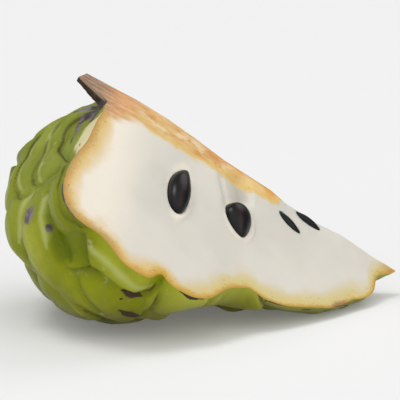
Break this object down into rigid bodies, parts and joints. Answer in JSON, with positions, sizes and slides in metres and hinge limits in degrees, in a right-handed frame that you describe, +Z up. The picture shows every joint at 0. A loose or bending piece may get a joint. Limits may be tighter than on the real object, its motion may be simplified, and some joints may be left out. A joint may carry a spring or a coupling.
{
  "type": "custard apple wedge",
  "caption": "Lengthwise wedge of a knobbly green custard apple with white flesh, browned core, split stalk and glossy dark seeds.",
  "frame": {"origin": "middle of the footprint, on the surface that the wedge lies on", "axes": "+Z up, +X from the stalk end towards the tip, -Y towards the side of the near cut face"},
  "size_m": [0.126, 0.0842, 0.0737],
  "materials": {
    "fruit": "waxy skin and moist cut flesh",
    "stalk": "dry bark and split wood",
    "seed": "polished wet seed coat"
  },
  "bodies": {
    "root": {"fruit_wedge": "fruit", "stalk": "stalk", "seed_1": "seed", "seed_2": "seed", "seed_3": "seed", "seed_4": "seed", "seed_5": "seed", "seed_6": "seed", "seed_7": "seed"}
  },
  "joints": []
}
